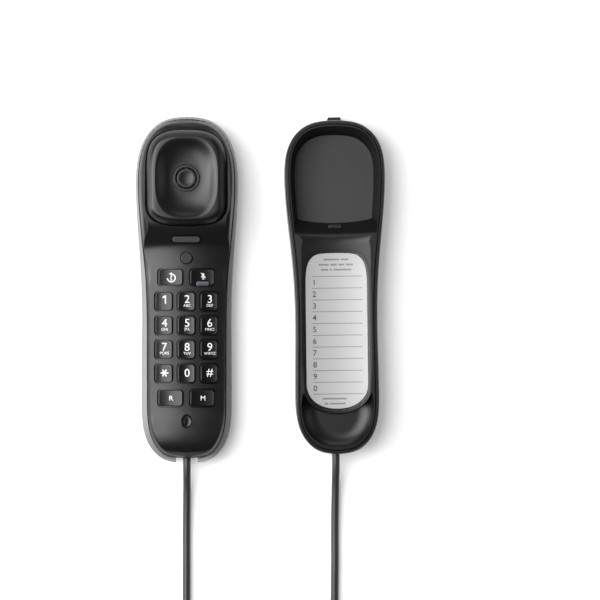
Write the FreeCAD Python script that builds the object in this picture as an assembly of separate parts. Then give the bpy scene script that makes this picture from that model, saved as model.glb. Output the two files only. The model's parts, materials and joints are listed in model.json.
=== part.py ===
"""Slimline wall phone: a handset with the keypad in its face, lying beside the cradle that it hangs on."""
import FreeCAD, Part
import math
import os
from collections import namedtuple

from FreeCAD import Placement, Rotation, Vector

os.makedirs("parts", exist_ok=True)

# Driving dimensions in millimetres. Both halves lie on their backs on one plane, z = 0. The cradle's centre
# is the origin, +Y points to the ear end, and the handset has a frame of its own, made the same way.

Plan = namedtuple("Plan", "ear_end ear_start ear_power peak_y peak_half peak_power waist_y waist_half "
                          "bulge_y bulge_half bulge_power mouth_start mouth_end mouth_power")
HANDSET_PLAN = Plan(107.4, 63.4, 2.55, 69.6, 31.8, 1.14, -21.7, 27.8, -56.9, 28.0, 0.6, -71.4, -107.4, 2.65)
CRADLE_PLAN = Plan(104.0, 69.2, 2.61, 70.7, 31.0, 1.22, -22.8, 25.35, -61.1, 25.85, 1.15, -68.5, -102.6, 2.48)

HANDSET_X = -92.4
HANDSET_Y = 0.1
HANDSET_TURN = 0.7          # degrees between the two halves' long axes
HANDSET_PLACE = Placement(Vector(HANDSET_X, HANDSET_Y, 0), Rotation(Vector(0, 0, 1), -HANDSET_TURN))

# Handset heights and insets as (y, value) stations along its length
FACE_Z = [(-107.2, 15.0), (-104, 17.2), (-100, 20.2), (-95, 22.2), (-89, 22.9), (-80, 22.7), (-75, 22.15),
          (-70, 22.0), (23.0, 22.0), (27.5, 22.5), (34, 25.6), (40.5, 28.2), (45, 28.5), (70, 27.6), (92, 26.0),
          (98, 25.4), (101.5, 24.3), (104, 21.8), (107.2, 19.5)]
SEAM_Z = [(-107.2, 13.2), (-98, 15.0), (-85, 16.4), (-20, 17.0), (20, 17.3), (50, 20.6), (85, 20.6),
          (107.2, 18.4)]
SEAM_INSET = [(-107.2, 2.8), (-92, 3.7), (-64.6, 3.5), (-21.7, 3.2), (0, 2.95), (24, 2.5), (64, 1.9),
              (107.2, 1.8)]
SEAM_GROOVE = 0.6           # width and depth of the groove between the two shells
KEYPAD_Z = 22.0
WIDEST_Z = 11.5
WALL = 2.0

# The handset's face is crowned across its width, and the cradle's is hollowed to match
CROWN_R = 120.0
CROWN_SHARE = [(-107.2, 1.0), (22.0, 1.0), (44.0, 0.0)]

# Keys: how they stand, and the width and length of their openings in the front shell
KEY_GAP = 1.0
KEY_PROUD = 0.9
KEY_EDGE = 0.45
KEY_DISH = 0.55
KEY_FLANGE = 0.4
KEY_FLANGE_Z = 17.0
KEY_CORNER = 3.0
DIGIT_SIZE = (12.4, 13.2)
WIDE_SIZE = (16.9, 11.8)
COLUMN_PITCH = 13.96
FIRST_ROW_Y = -7.1
ROW_PITCH = 14.8
TOP_KEYS_Y = 7.8
LOW_KEYS_Y = -66.7
WIDE_KEYS_X = 9.8
LENS_CENTRE = (9.96, 3.6)
LENS_SIZE = (8.0, 3.4)

# Stack inside the handset, heights above the table
MAT_Z = 13.8
MAT_THICK = 1.2
DOME_TOP_Z = 15.7           # the domes are drawn pressed, clear of the keys' whole travel
BOARD_THICK = 1.6
SCREW_SPOTS_HANDSET = [(-17.5, 32.0), (17.5, 32.0), (-15.0, -86.0), (15.0, -86.0)]

EAR_PAD_PLAN = Plan(98.6, 72.0, 3.0, 72.0, 24.9, 1, 71.9, 24.9, 71.8, 24.9, 1, 54.0, 39.0, 2.8)
EAR_PAD_GAP = 0.6
EAR_PAD_Z = 22.0
EAR_PAD_TOP = 33.0
DISH_FLOOR_Z = 28.9
EAR_CENTRE_Y = 68.6
GRILLE_R = 8.2
GRILLE_THICK = 1.3
SOUND_SLOT_R = 6.6
GRILLE_DISC_R = 5.9

PLUNGER_Y = 19.6
PLUNGER_R = 3.5
PLUNGER_HOLE_R = 4.15
PLUNGER_PROUD = 1.3
RIB_Y = 31.1
RIB_SIZE = (17.0, 4.2)
RIB_TOP_Z = 25.8
RIB_GROOVE = 0.5            # width of the groove round the rib's foot
MIC_Y = -80.8

# Cradle heights
RIM_Z = [(-102.6, 19.6), (-85, 21.4), (-40, 22.0), (60, 22.0), (88, 21.4), (104.0, 19.8)]
RIM_WIDTH = 2.3
RIM_GAP = 0.5
FACE_DROP = 0.8             # the inner shell's edge lies this far under the rim
PLATEAU_Z = 19.3
SADDLE_Z = [(-102.6, PLATEAU_Z), (24.0, PLATEAU_Z), (29.5, 18.9), (33.0, 17.4), (36.5, 13.0), (40.7, 6.0),
            (44.5, 0.5), (104.0, 0.4)]
SADDLE_BOW = [(24.0, 1.0), (40.0, 2.1)]
HOLLOW_Z = 6.0
TRAY_TOP_INSET = 3.1        # the hollow's wall at the rim, and below where it meets the floor
TRAY_FLOOR_INSET = [(-102.6, 6.4), (80.0, 6.5), (98.0, 8.3), (104.0, 8.7)]
BASIN_Z = 15.2
FLOOR = 2.2
WINDOW_PLAN = Plan(23.1, -4.0, 3.9, -4.0, 20.3, 1, -4.1, 20.3, -4.2, 20.3, 1, -58.5, -75.7, 2.2)
WINDOW_THICK = 1.2
WINDOW_SUNK = 0.15
GROOVE_OFF = 0.8            # the groove round the window: its distance from it, and its size
GROOVE_WIDTH = 0.5
GROOVE_DEEP = 0.6
CARD_AIR = 0.1              # air between the card and the window
CARD_THICK = 0.4
NIB_SPOT = (36.9, 39.5)      # from and to along the slope
NIB_Z = 12.6

# Fittings in the cradle's back, ends and sides
SCREW_SPOTS_CRADLE = [(-16.5, 13.0), (16.5, 13.0), (-16.5, -60.0), (16.5, -60.0)]
FOOT_SPOTS = [(-15.0, 82.0), (15.0, 82.0), (-13.0, -82.0), (13.0, -82.0)]
FOOT_R = 5.0
FOOT_THICK = 1.0
KEYHOLE_HEADS_Y = (16.0, -67.0)
KEYHOLE_R = 4.3
KEYHOLE_SLOT = (4.2, 7.0)
SWITCH_Y = -40.0
SWITCH_Z = 9.5
SWITCH_TRAVEL = 2.0
SWITCH_KNOB = (2.2, 4.2, 3.2)
BOARD_SPOTS = [(-11.0, -6.0), (11.0, -6.0), (-11.0, -44.0), (11.0, -44.0)]

# Modular sockets
JACK_SIZE = (13.0, 14.6, 10.6)
SOCKET_SIZE = (7.9, 12.5, 6.9)
PLUG_SIZE = (7.6, 13.2, 6.6)
JACK_Z = 7.9
CRADLE_CORD_X = -1.0
HANDSET_JACK_Y = -102.2
CRADLE_JACK_Y = -99.2
HANDSET_PLUG_BACK = 1.8     # how far the plugs stand out of their sockets
CRADLE_PLUG_BACK = 3.2
NOTCH_HALF = 6.7
LINE_JACK_X = 12.6
LINE_JACK_Y = -83.5

# The cord: its two straight tails, and between them the curled stretch, here one tube as thick as the curls
CORD_D = 4.8
CURLS_D = 15.2
LYING_Z = CORD_D / 2 + 0.1
HANDSET_TAIL = [(-93.67, -103.9), (-93.78, -112.5), (-93.9, -124.0), (-94.5, -148.0), (-94.8, -176.0), (-95.2, -204.0)]
CRADLE_TAIL = [(-1.0, -102.4), (-1.0, -111.0), (-1.4, -123.0), (-2.0, -147.0), (-2.2, -174.0), (-2.9, -202.0)]
TAIL_HEIGHTS = [JACK_Z, JACK_Z, 4.4, LYING_Z, LYING_Z, LYING_Z]
CURL_ROUTE = [(-2.9, -202.0), (-3.4, -222.0), (2.4, -251.8), (2.4, -294.0), (-28.0, -324.4), (-70.2, -324.4),
              (-100.6, -294.0), (-100.6, -252.0), (-95.45, -222.5), (-95.2, -204.15)]

RING_POINTS = 40
BIG = 60.0                  # past every surface of the object, for cutting tools


def along(stations, y):
    """Value at y of a smooth curve through the (y, value) stations that never overshoots them."""
    if y <= stations[0][0]:
        return stations[0][1]
    if y >= stations[-1][0]:
        return stations[-1][1]
    slopes = []
    for (y0, v0), (y1, v1) in zip(stations, stations[1:]):
        slopes.append((v1 - v0) / (y1 - y0))
    tangents = [0.0]
    for before, after in zip(slopes, slopes[1:]):
        tangents.append(2 * before * after / (before + after) if before * after > 0 else 0.0)
    tangents.append(0.0)
    k = max(i for i in range(len(slopes)) if stations[i][0] <= y)
    (y0, v0), (y1, v1) = stations[k], stations[k + 1]
    span = y1 - y0
    t = (y - y0) / span
    return ((1 + 2 * t) * (1 - t) ** 2 * v0 + t * (1 - t) ** 2 * span * tangents[k]
            + t * t * (3 - 2 * t) * v1 + t * t * (t - 1) * span * tangents[k + 1])


def half_width(plan, y):
    """Half the plan's width at y: gently waisted sides times a superellipse at each end."""
    if y >= plan.waist_y:
        peak_y, peak, power = plan.peak_y, plan.peak_half, plan.peak_power
    else:
        peak_y, peak, power = plan.bulge_y, plan.bulge_half, plan.bulge_power
    part = min(1.0, (y - plan.waist_y) / (peak_y - plan.waist_y))
    side = plan.waist_half + (peak - plan.waist_half) * math.sin(math.pi / 2 * part ** power) ** 2
    rounding = 1.0
    ends = ((plan.ear_start, plan.ear_end, plan.ear_power), (plan.mouth_start, plan.mouth_end, plan.mouth_power))
    for start, end, end_power in ends:
        t = min(1.0, max(0.0, (y - start) / (end - start)))
        rounding *= (1 - t ** end_power) ** (1 / end_power)
    return side * rounding


def plan_point(plan, angle):
    """Point of the plan's outline; angle 0 is the ear end's tip, pi the mouth end's, and +X lies between."""
    y = (plan.ear_end + plan.mouth_end) / 2 + (plan.ear_end - plan.mouth_end) / 2 * math.cos(angle)
    return Vector(math.copysign(half_width(plan, y), math.sin(angle)), y, 0)


def value(number, y):
    return number(y) if callable(number) else number


def ring(plan, height, inset=0.0):
    """Points inside the plan's outline, all round; height and inset are numbers or functions of y."""
    points = []
    for k in range(RING_POINTS):
        angle = 2 * math.pi * k / RING_POINTS
        here = plan_point(plan, angle)
        ahead = plan_point(plan, angle + 0.02)
        behind = plan_point(plan, angle - 0.02)
        outward = Vector(behind.y - ahead.y, ahead.x - behind.x, 0).normalize()
        point = here - outward * value(inset, here.y)
        point.z = value(height, point.y)
        points.append(point)
    return points


def ring_curve(points):
    """Closed smooth curve through a ring's points."""
    shares = [k / len(points) for k in range(len(points) + 1)]
    curve = Part.BSplineCurve()
    curve.interpolate(Points=points, PeriodicFlag=True, Parameters=shares)
    return curve


def skin(rings):
    """Solid whose side is drawn between rings: it starts and ends on the flat first and last ring,
    and touches the middle of each line between one ring and the next."""
    curves = [ring_curve(points) for points in rings]
    poles = [list(column) for column in zip(*[curve.getPoles() for curve in curves])]
    side = Part.BSplineSurface()
    count = len(rings)
    side.buildFromPolesMultsKnots(poles, curves[0].getMultiplicities(), [3] + [1] * (count - 3) + [3],
                                  curves[0].getKnots(), list(range(count - 1)), True, False, 3, 2)
    faces = [side.toShape()]
    for edge in faces[0].Edges:
        if edge.isClosed() and edge.BoundBox.ZLength < 0.001:
            faces.append(Part.Face(Part.Wire([edge])))
    shell = Part.Shell(faces)
    shell.sewShape()
    return Part.Solid(shell)


def levels(plan, rows, extra=0.0):
    """Rings on one plan from (height, inset) rows, all drawn in by extra."""
    return [ring(plan, height, lambda y, inset=inset: value(inset, y) + extra) for height, inset in rows]


def prism(plan, low, high, inset=0.0):
    """Upright solid on a plan's outline."""
    outline = Part.Wire([ring_curve(ring(plan, low, inset)).toShape()])
    return Part.Face(outline).extrude(Vector(0, 0, high - low))


def above(stations, drop=0.0, bow=0.0):
    """Everything higher than a side profile, lowered by drop. The surface bows up by bow times x squared,
    and bow is a number or a function of y."""
    ends = (stations[0][0] - 20, stations[-1][0] + 20)
    marks = [ends[0]] + [y for y, _ in stations] + [ends[1]]
    places = marks[:1]
    for before, after in zip(marks, marks[1:]):
        steps = max(2, math.ceil((after - before) / 10))
        places += [before + (after - before) * k / steps for k in range(1, steps + 1)]
    shares = [(y - ends[0]) / (ends[1] - ends[0]) for y in places]
    columns = []
    for x, side in ((-BIG, 1), (0, -1), (BIG, 1)):
        points = [Vector(x, y, along(stations, y) - drop + side * value(bow, y) * BIG * BIG) for y in places]
        curve = Part.BSplineCurve()
        curve.interpolate(Points=points, Parameters=shares)
        columns.append(curve)
    surface = Part.BSplineSurface()
    surface.buildFromPolesMultsKnots([curve.getPoles() for curve in columns], [3, 3], columns[0].getMultiplicities(),
                                     [0, 1], columns[0].getKnots(), False, False, 2, 3)
    return surface.toShape().extrude(Vector(0, 0, 2 * BIG))


def box(x0, x1, y0, y1, z0, z1):
    return Part.makeBox(x1 - x0, y1 - y0, z1 - z0, Vector(x0, y0, z0))


def centred_box(x, y, z0, size):
    """Box of size (width, length, height) centred at x, y and standing on z0."""
    return box(x - size[0] / 2, x + size[0] / 2, y - size[1] / 2, y + size[1] / 2, z0, z0 + size[2])


def post(x, y, z0, z1, radius):
    return Part.makeCylinder(radius, z1 - z0, Vector(x, y, z0))


def tube(x, y, z0, z1, outer, inner):
    return post(x, y, z0, z1, outer).cut(post(x, y, z0, z1, inner))


def rounded_block(x, y, z0, z1, width, length, corner):
    """Upright block with rounded corners, centred at x, y."""
    block = centred_box(x, y, z0, (width, length, z1 - z0))
    upright = [edge for edge in block.Edges if abs(edge.tangentAt(edge.FirstParameter).z) > 0.9]
    return block.makeFillet(corner, upright)


def edges_at(shape, height, tolerance=0.02):
    """Edges that lie wholly at one height."""
    found = []
    for edge in shape.Edges:
        limits = edge.BoundBox
        if abs(limits.ZMin - height) < tolerance and abs(limits.ZMax - height) < tolerance:
            found.append(edge)
    return found


def fused(shapes):
    whole = shapes[0]
    for shape in shapes[1:]:
        whole = whole.fuse(shape)
    return whole.removeSplitter()


def face_z(y):
    return along(FACE_Z, y)


def seam_z(y):
    return along(SEAM_Z, y)


def seam_inset(y):
    return along(SEAM_INSET, y)


def crown(y):
    """How fast the handset's face falls away from its middle line, per x squared."""
    return along(CROWN_SHARE, y) / (2 * CROWN_R)


def edge_z(y):
    """Height of the crowned face at its edge."""
    half = max(0.0, half_width(HANDSET_PLAN, y) - seam_inset(y) - 3.0)
    return face_z(y) - crown(y) * half * half


def above_face(drop=0.0):
    return above(FACE_Z, drop, lambda y: -crown(y))


def rear_body(extra):
    """The rear shell's outer form, drawn in by extra all round, open upwards past the seam."""
    floor = [(0.0, 8.6), (0.1, 6.4), (1.4, 3.6), (4.2, 1.2)]
    rows = [(height + extra, inset) for height, inset in floor]
    rows += [(8.6, 0.0), (WIDEST_Z + 1.4, 0.0)]
    rows.append((lambda y: (WIDEST_Z + 1.4 + seam_z(y)) / 2, lambda y: 0.3 * seam_inset(y)))
    rows.append((lambda y: seam_z(y) - 0.9, lambda y: 0.72 * seam_inset(y)))
    rows.append((lambda y: seam_z(y) + 0.9, lambda y: 1.28 * seam_inset(y)))
    rows.append((30.0, lambda y: seam_inset(y) + 6.0))
    return skin(levels(HANDSET_PLAN, rows, extra))


def flank(y, part):
    """Height at a share of the way from the seam up to the face's edge."""
    return seam_z(y) + part * (edge_z(y) - seam_z(y))


def front_body(extra):
    """The front shell's outer form, drawn in by extra all round and lowered by extra at the face."""
    rows = [(4.0, 0.0), (lambda y: flank(y, -0.3), 0.0), (lambda y: flank(y, 0.1), 0.1),
            (lambda y: flank(y, 0.5), 0.95), (lambda y: flank(y, 0.9), 1.95),
            (lambda y: flank(y, 1.0) + 0.1, 2.8), (lambda y: flank(y, 1.0) + 0.7, 4.5),
            (lambda y: face_z(y) + 4.0, 4.9), (45.0, 5.1)]
    rings = [ring(HANDSET_PLAN, height, lambda y, inset=inset: seam_inset(y) + inset + extra)
             for height, inset in rows]
    return skin(rings).cut(above_face(extra))


def key_table():
    """Name, centre and size of each key's opening."""
    table = [("redial_key", -WIDE_KEYS_X, TOP_KEYS_Y, WIDE_SIZE), ("mute_key", WIDE_KEYS_X, TOP_KEYS_Y, WIDE_SIZE)]
    names = ["key_1", "key_2", "key_3", "key_4", "key_5", "key_6", "key_7", "key_8", "key_9",
             "key_star", "key_0", "key_hash"]
    for index, name in enumerate(names):
        column = index % 3 - 1
        row = index // 3
        table.append((name, column * COLUMN_PITCH, FIRST_ROW_Y - row * ROW_PITCH, DIGIT_SIZE))
    table.append(("recall_key", -WIDE_KEYS_X, LOW_KEYS_Y, WIDE_SIZE))
    table.append(("memory_key", WIDE_KEYS_X, LOW_KEYS_Y, WIDE_SIZE))
    return table


def crown_cylinder(height):
    """Lying cylinder whose top line is at a height over the middle of the keypad, parallel to the crown."""
    radius = CROWN_R + height - KEYPAD_Z
    return Part.makeCylinder(radius, 200, Vector(0, 100, height - radius), Vector(0, -1, 0))


def make_key(x, y, size):
    """A key cap under the crown of the face, with a dished top, a rounded edge, and a flange below the face."""
    top = KEYPAD_Z + KEY_PROUD
    width = size[0] - 2 * KEY_GAP
    length = size[1] - 2 * KEY_GAP
    lean = math.asin(x / CROWN_R)
    half = width / 2 + 0.4
    radius = half * half / (2 * KEY_DISH)
    centre = Vector(x, y - BIG, top - CROWN_R * (1 - math.cos(lean)))
    centre += Vector(math.sin(lean), 0, math.cos(lean)) * (radius - KEY_DISH - half * half / (2 * CROWN_R))
    dish = Part.makeCylinder(radius, 2 * BIG, centre, Vector(0, 1, 0))
    cap = rounded_block(x, y, KEY_FLANGE_Z + 0.2, top + 1, width, length, KEY_CORNER - KEY_GAP).cut(dish)
    dished = []
    for face in cap.Faces:
        if isinstance(face.Surface, Part.Cylinder) and face.Surface.Radius > KEY_CORNER:
            dished.append(face)
    cap = cap.makeFillet(KEY_EDGE, dished[0].Edges)
    flange = rounded_block(x, y, KEY_FLANGE_Z, top, size[0] + 2 * KEY_FLANGE, size[1] + 2 * KEY_FLANGE, KEY_CORNER)
    flange = flange.common(crown_cylinder(KEYPAD_Z - WALL - 0.4))
    return cap.fuse(flange).removeSplitter()


def lens_block(grow, z0, z1):
    width = LENS_SIZE[0] + 2 * grow
    length = LENS_SIZE[1] + 2 * grow
    return rounded_block(LENS_CENTRE[0], LENS_CENTRE[1], z0, z1, width, length, 1.1)


def make_handset_rear():
    bosses = [post(x, y, 1.0, 5.4, 4.0) for x, y in SCREW_SPOTS_HANDSET]
    shell = rear_body(0.0).cut([rear_body(WALL), above(SEAM_Z)]).fuse(bosses)
    tools = [box(-NOTCH_HALF, NOTCH_HALF, -112, -99, 2.4, 25)]
    for x, y in SCREW_SPOTS_HANDSET:
        tools.append(post(x, y, -1, 3.4, 3.0))
        tools.append(post(x, y, 3, 6, 1.6))
    return shell.cut(tools).removeSplitter()


def oval(centre_y, height, half_x, half_y, power=2.0):
    """Ring of points on a superellipse round the middle line."""
    points = []
    for k in range(RING_POINTS):
        angle = 2 * math.pi * k / RING_POINTS
        x = half_x * (1 - abs(math.cos(angle)) ** power) ** (1 / power)
        points.append(Vector(math.copysign(x, math.sin(angle)), centre_y + half_y * math.cos(angle), height))
    return points


def mic_recess():
    """Oval dimple with a slot through its floor."""
    rim = face_z(MIC_Y)
    rows = [(-1.3, 1.3, 2.4), (-1.3, 2.0, 3.1), (-0.8, 3.0, 4.0), (0.6, 3.6, 4.8), (2.0, 4.3, 5.6)]
    slot = rounded_block(0, MIC_Y - 0.5, rim - 6, rim, 1.6, 5.2, 0.75)
    return skin([oval(MIC_Y, rim + height, half_x, half_y) for height, half_x, half_y in rows]).fuse(slot)


def make_handset_front():
    walls = front_body(0.6).common(prism(EAR_PAD_PLAN, EAR_PAD_Z - WALL, 40, -2.4)).common(above(SEAM_Z, -0.15))
    inside = front_body(0.5)
    bosses = [post(x, y, 5.6, face_z(y) - 1.0, 3.0).common(inside) for x, y in SCREW_SPOTS_HANDSET]
    below_seam = box(-BIG, BIG, -120, 120, -1, 40).cut(above(SEAM_Z))
    shell = front_body(0.0).cut([front_body(WALL), below_seam]).fuse([walls] + bosses)
    seam_slab = above(SEAM_Z, 0.1).cut([above(SEAM_Z, -SEAM_GROOVE), front_body(SEAM_GROOVE)])
    tools = [seam_slab, prism(EAR_PAD_PLAN, EAR_PAD_Z, 45.0, -EAR_PAD_GAP),
             post(0, EAR_CENTRE_Y, 10, EAR_PAD_Z + 1, 16.5), post(0, PLUNGER_Y, 15, 30, PLUNGER_HOLE_R),
             lens_block(0.05, 15, 30), rest_rib(), rib_groove(), mic_recess()]
    tools += [post(x, y, 5, 15, 1.2) for x, y in SCREW_SPOTS_HANDSET]
    tools += [rounded_block(x, y, 15, 30, size[0], size[1], KEY_CORNER) for _, x, y, size in key_table()]
    return shell.cut(tools).removeSplitter()


def rest_rib():
    rib = rounded_block(0, RIB_Y, 22.8, RIB_TOP_Z, RIB_SIZE[0], RIB_SIZE[1], 1.7)
    return rib.makeFillet(0.5, edges_at(rib, RIB_TOP_Z))


def rib_groove():
    """Shallow groove in the slope round the rib."""
    width = RIB_SIZE[0] + 2 * RIB_GROOVE
    length = RIB_SIZE[1] + 2 * RIB_GROOVE
    return rounded_block(0, RIB_Y, 20, 30, width, length, 2.1).common(above_face(0.8))


def make_ear_pad():
    """Cushion with a rounded shoulder, a flat crest and a bowl that ends at the grille."""
    crest = EAR_PAD_TOP
    floor = DISH_FLOOR_Z
    outside = [(EAR_PAD_Z, 0.0), (25.5, 0.0), (28.4, 0.3), (30.8, 1.8), (32.6, 3.7), (crest, 5.0), (crest, 7.0)]
    bowl = [(floor, 7.6, 7.8, 2.0), (floor, 9.6, 10.2, 2.0), (floor + 0.5, 12.0, 14.6, 2.1),
            (floor + 1.5, 14.4, 18.8, 2.3), (floor + 2.7, 16.2, 21.6, 2.5), (floor + 3.7, 17.8, 23.4, 2.6),
            (crest + 0.1, 19.6, 25.2, 2.7), (crest + 0.4, 22.6, 28.2, 2.8)]
    grille_low = floor - GRILLE_THICK
    return skin(levels(EAR_PAD_PLAN, outside)).cut([
        skin([oval(EAR_CENTRE_Y, *row) for row in bowl]), post(0, EAR_CENTRE_Y, EAR_PAD_Z - 1, 26.0, 15.0),
        post(0, EAR_CENTRE_Y, 25, 34, 7.4), post(0, EAR_CENTRE_Y, grille_low, 34, GRILLE_R + 0.4)])


def make_grille():
    """Ring and dished centre disc, joined by three spokes under the sound slot."""
    top = DISH_FLOOR_Z
    low = top - GRILLE_THICK
    outer = tube(0, EAR_CENTRE_Y, low, top, GRILLE_R, SOUND_SLOT_R)
    outer = outer.makeFillet(0.3, edges_at(outer, top))
    disc = post(0, EAR_CENTRE_Y, low - 0.9, top - 0.2, GRILLE_DISC_R)
    disc = disc.makeFillet(0.4, edges_at(disc, top - 0.2))
    disc = disc.cut(Part.makeSphere(20.0, Vector(0, EAR_CENTRE_Y, top - 0.7 + 20.0)))
    pieces = [outer, disc]
    for index in range(3):
        spoke = box(-0.8, 0.8, EAR_CENTRE_Y + 4.0, EAR_CENTRE_Y + 7.0, low - 0.7, low + 0.1)
        spoke.rotate(Vector(0, EAR_CENTRE_Y, 0), Vector(0, 0, 1), 120 * index)
        pieces.append(spoke)
    return fused(pieces)


def make_plunger():
    top = KEYPAD_Z + PLUNGER_PROUD
    head = post(0, PLUNGER_Y, KEYPAD_Z - WALL - 0.5, top, PLUNGER_R)
    head = head.makeFillet(0.5, edges_at(head, top))
    flange = post(0, PLUNGER_Y, KEYPAD_Z - WALL - 1.4, KEYPAD_Z - WALL - 0.3, 5.2)
    stem = post(0, PLUNGER_Y, 13.0, KEYPAD_Z - WALL - 1.0, 2.0)
    return fused([head, flange, stem])


def make_keypad_mat():
    """Rubber mat with one dome under each key, drawn at its pressed height."""
    mat = box(-19.0, 19.0, -74.0, 13.8, MAT_Z, MAT_Z + MAT_THICK)
    low = MAT_Z + MAT_THICK - 0.1
    domes = [Part.makeCone(4.0, 3.0, DOME_TOP_Z - low, Vector(x, y, low)) for _, x, y, _ in key_table()]
    return mat.fuse(domes).removeSplitter()


def make_handset_board():
    under = MAT_Z - BOARD_THICK
    board = box(-19.0, 19.0, -74.0, 26.0, under, MAT_Z).cut(post(0, PLUNGER_Y, 10, 20, 2.4))
    chip = centred_box(4, -20, under - 1.8, (9, 9, 1.8))
    capacitor = post(-9, -40, under - 7.5, under, 3.2)
    relay = centred_box(8, -48, under - 5.0, (7, 12, 5.0))
    return fused([board, chip, capacitor, relay])


def make_hook_switch():
    top = 10.2
    pieces = [centred_box(0, PLUNGER_Y, 5.0, (12.0, 7.0, top - 5.0))]
    for x in (-5.0, 5.0):
        pieces.append(post(x, PLUNGER_Y, top - 0.5, MAT_Z - BOARD_THICK, 0.6))
    return fused(pieces)


def make_jack():
    """Four-way modular socket in a frame of its own: mouth at y = 0, facing -Y, centre line at z = 0."""
    body = centred_box(0, JACK_SIZE[1] / 2, -JACK_SIZE[2] / 2, JACK_SIZE)
    mouth = centred_box(0, SOCKET_SIZE[1] / 2 - 0.5, -SOCKET_SIZE[2] / 2, SOCKET_SIZE)
    latch_way = box(-1.7, 1.7, -1, 9.0, -SOCKET_SIZE[2] / 2 - 1.2, 0)
    return body.cut([mouth, latch_way])


def make_plug(back):
    """Clear plug in the same frame as the socket, with its latch below; its back end is at y = -back."""
    body = centred_box(0, PLUG_SIZE[1] / 2 - back, -PLUG_SIZE[2] / 2, PLUG_SIZE)
    latch = box(-1.5, 1.5, 0.6 - back, 8.0, -PLUG_SIZE[2] / 2 - 1.0, -PLUG_SIZE[2] / 2 + 0.1)
    grooves = []
    for index in range(4):
        x = (index - 1.5) * 1.02
        grooves.append(box(x - 0.25, x + 0.25, 7.0, BIG, PLUG_SIZE[2] / 2 - 0.8, PLUG_SIZE[2]))
    return body.fuse(latch).cut(grooves).removeSplitter()


def make_lens():
    top = KEYPAD_Z + 0.45
    lens = lens_block(0.0, 18.0, top)
    return lens.makeFillet(0.6, edges_at(lens, top))


def make_receiver():
    """Receiver capsule: a stepped disc with a magnet cup under it."""
    return fused([post(0, EAR_CENTRE_Y, 18.4, 24.4, 14.6), post(0, EAR_CENTRE_Y, 15.4, 18.6, 9.0)])


def make_mic_boot():
    """Rubber cup round the microphone, with a sound hole up to the slot."""
    cup = post(0, MIC_Y, 12.6, 19.8, 6.4).cut(post(0, MIC_Y, 13.8, 18.2, 4.8))
    return cup.cut(post(0, MIC_Y - 0.5, 18, 20, 1.6))


def screws(spots, head_z, length):
    """Round-headed screws put in from below, as a group of separate solids."""
    group = []
    for x, y in spots:
        head = post(x, y, head_z, head_z + 1.7, 2.6)
        head = head.makeFillet(0.5, edges_at(head, head_z))
        bars = [centred_box(x, y, head_z - 1, (3.2, 0.6, 1.9)), centred_box(x, y, head_z - 1, (0.6, 3.2, 1.9))]
        shank = post(x, y, head_z + 1.5, head_z + length, 1.15)
        group.append(head.fuse(shank).cut(bars).removeSplitter())
    return Part.makeCompound(group)


def handset_pieces():
    """Every solid of the handset in its own frame, by node name."""
    pieces = {
        "handset_rear_shell": make_handset_rear(),
        "handset_front_shell": make_handset_front(),
        "ear_pad": make_ear_pad(),
        "earpiece_grille": make_grille(),
        "rest_rib": rest_rib(),
        "hook_plunger": make_plunger(),
        "hook_spring": tube(0, PLUNGER_Y, MAT_Z, KEYPAD_Z - WALL - 1.4, 3.4, 2.5),
        "hook_switch": make_hook_switch(),
        "keypad_mat": make_keypad_mat(),
        "handset_board": make_handset_board(),
        "mute_lamp_lens": make_lens(),
        "mute_lamp": centred_box(LENS_CENTRE[0], LENS_CENTRE[1] - 1.0, MAT_Z + MAT_THICK, (2.6, 1.8, 1.6)),
        "receiver_capsule": make_receiver(),
        "receiver_gasket": tube(0, EAR_CENTRE_Y, 24.4, 26.0, 14.6, 10.5),
        "microphone_boot": make_mic_boot(),
        "microphone_capsule": post(0, MIC_Y, 13.8, 18.2, 4.8),
        "handset_weight": rounded_block(0, 62, WALL + 0.2, 6.2, 26, 44, 3.0),
        "handset_screws": screws(SCREW_SPOTS_HANDSET, 1.6, 12.5),
    }
    for name, x, y, size in key_table():
        pieces[name] = make_key(x, y, size)
    pieces["mute_key"] = pieces["mute_key"].cut(lens_block(0.5, 14, 30))
    for name, shape in (("handset_jack", make_jack()), ("handset_plug", make_plug(HANDSET_PLUG_BACK))):
        shape.translate(Vector(0, HANDSET_JACK_Y, JACK_Z))
        pieces[name] = shape
    return pieces


def rim_z(y):
    return along(RIM_Z, y)


def switch_slot():
    """Slot for the ringer switch through the right side wall."""
    length = SWITCH_KNOB[1] + 2 * SWITCH_TRAVEL + 0.6
    return centred_box(24.0, SWITCH_Y, SWITCH_Z - SWITCH_KNOB[2] / 2 - 0.3, (8.0, length, SWITCH_KNOB[2] + 0.6))


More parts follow.
